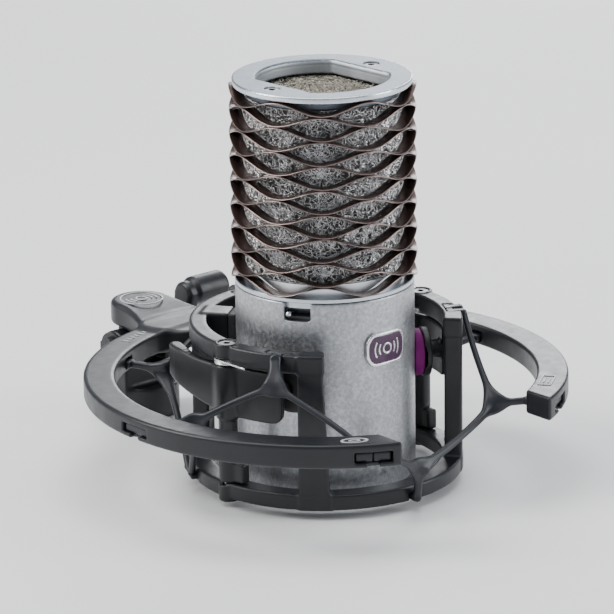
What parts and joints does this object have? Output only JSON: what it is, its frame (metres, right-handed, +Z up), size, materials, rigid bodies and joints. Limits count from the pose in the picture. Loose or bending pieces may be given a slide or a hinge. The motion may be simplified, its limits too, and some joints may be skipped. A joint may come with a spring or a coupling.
{
  "type": "condenser microphone",
  "caption": "Side-address studio condenser microphone with a wave-spring head, held by sprung jaws in a lyre-suspended shock mount with a tilting stand adaptor",
  "frame": {"origin": "on the microphone's own axis at its flat base", "axes": "+Z up along the microphone, the address side and the mount's open side face -Y, the stand swivel is at +Y"},
  "size_m": [0.174, 0.1971, 0.1487],
  "materials": {
    "body_shell": "mid-grey tumbled metal with a fine mottled grain",
    "flange_metal": "satin turned aluminium",
    "inner_metal": "plain milled aluminium",
    "top_metal": "satin blue-grey with a bright machined rim",
    "screw_black": "blackened steel screw",
    "wave_bronze": "dark bronze spring strip with bright edges",
    "wire_mesh": "woven wire mesh",
    "wire_mesh_top": "woven wire mesh, slightly warmer",
    "collar_aluminium": "light satin aluminium",
    "pillar_steel": "turned steel",
    "saddle_plastic": "moulded black plastic",
    "capsule_brass": "turned brass",
    "diaphragm_gold": "thin gold-coated film",
    "lead_red": "insulated lead",
    "board_green": "circuit board with green solder mask",
    "steel_small": "zinc plated steel",
    "cap_blue": "sleeved capacitor",
    "chip_black": "moulded component case",
    "base_metal": "dark painted base plate",
    "nickel": "nickel plated shell",
    "pin_silver": "silver plated contact pin",
    "badge_metal": "polished badge metal",
    "badge_purple": "dark purple enamel",
    "toggle_silver": "polished ball-ended lever",
    "mount_plastic": "satin charcoal glass-filled plastic",
    "jaw_plastic": "slightly glossy black plastic",
    "spring_steel": "bright spring wire",
    "rear_rubber": "black soft rubber",
    "pad_magenta": "soft magenta rubber",
    "lyre_elastomer": "flexible dark slate elastomer",
    "brass_insert": "knurled brass insert"
  },
  "bodies": {
    "stand_adaptor": {"stand_adaptor": "mount_plastic", "thread_insert": "brass_insert", "tilt_bolt": "screw_black", "tilt_washers": "screw_black"},
    "tilt_lever": {"tilt_lever": "mount_plastic"},
    "ring": {"outer_ring": "mount_plastic", "front_lyre": "lyre_elastomer", "left_lyre": "lyre_elastomer", "rear_lyre": "lyre_elastomer", "right_lyre": "lyre_elastomer"},
    "cage": {"cage_frame": "mount_plastic", "pivot_pins": "steel_small", "pivot_screws": "screw_black", "torsion_springs": "spring_steel", "rear_pads": "rear_rubber"},
    "left_jaw": {"left_jaw": "jaw_plastic", "left_pad_backing": "jaw_plastic", "left_pad": "pad_magenta"},
    "right_jaw": {"right_jaw": "jaw_plastic", "right_pad_backing": "jaw_plastic", "right_pad": "pad_magenta"},
    "mic": {"body_shell": "body_shell", "chassis_flange": "flange_metal", "chassis_rails": "inner_metal", "top_plate": "top_metal", "top_screws": "screw_black", "wave_springs": "wave_bronze", "mesh_filter": "wire_mesh", "top_mesh": "wire_mesh_top", "mesh_collar": "collar_aluminium", "head_pillars": "pillar_steel", "capsule_saddle": "saddle_plastic", "capsule_backplate": "capsule_brass", "diaphragms": "diaphragm_gold", "capsule_rings": "capsule_brass", "capsule_screws": "steel_small", "capsule_leads": "lead_red", "main_board": "board_green", "board_screws": "screw_black", "board_capacitors": "cap_blue", "board_chips": "chip_black", "base_plate": "base_metal", "base_screws": "screw_black", "xlr_barrel": "nickel", "xlr_insert": "chip_black", "xlr_pins": "pin_silver", "stand_bush": "nickel", "badge_base": "badge_metal", "badge_enamel": "badge_purple", "pad_switch_housing": "chip_black", "lowcut_switch_housing": "chip_black"},
    "pad_switch_toggle": {"pad_switch_toggle": "toggle_silver"},
    "lowcut_switch_toggle": {"lowcut_switch_toggle": "toggle_silver"}
  },
  "joints": [
    {"name": "clamp_lever", "type": "hinge", "parent": "stand_adaptor", "child": "tilt_lever", "pos_m": [0.018, 0.104, 0.024], "axis": [1, 0, 0], "range_deg": [-70, 0]},
    {"name": "tilt", "type": "hinge", "parent": "stand_adaptor", "child": "ring", "pos_m": [0, 0.104, 0.024], "axis": [1, 0, 0], "range_deg": [-45, 60]},
    {"name": "bounce", "type": "slide", "parent": "ring", "child": "cage", "axis": [0, 0, 1], "range_m": [-0.003, 0.003], "stiffness_N_per_m": 1500, "deforming": ["front_lyre", "left_lyre", "rear_lyre", "right_lyre"]},
    {"name": "left_jaw_hinge", "type": "hinge", "parent": "cage", "child": "left_jaw", "pos_m": [-0.0462, 0, 0.04], "axis": [0, 0, 1], "range_deg": [-6.5, 0], "stiffness_Nm_per_rad": 0.4},
    {"name": "right_jaw_hinge", "type": "hinge", "parent": "cage", "child": "right_jaw", "pos_m": [0.0462, 0, 0.04], "axis": [0, 0, 1], "range_deg": [0, 6.5], "stiffness_Nm_per_rad": 0.4},
    {"name": "mic_lift", "type": "slide", "parent": "cage", "child": "mic", "axis": [0, 0, 1], "range_m": [0, 0.16]},
    {"name": "pad_switch", "type": "slide", "parent": "mic", "child": "pad_switch_toggle", "axis": [0.5105, -0.8599, 0], "range_m": [0, 0.0064]},
    {"name": "lowcut_switch", "type": "slide", "parent": "mic", "child": "lowcut_switch_toggle", "axis": [0.5105, 0.8599, 0], "range_m": [0, 0.0064]}
  ]
}
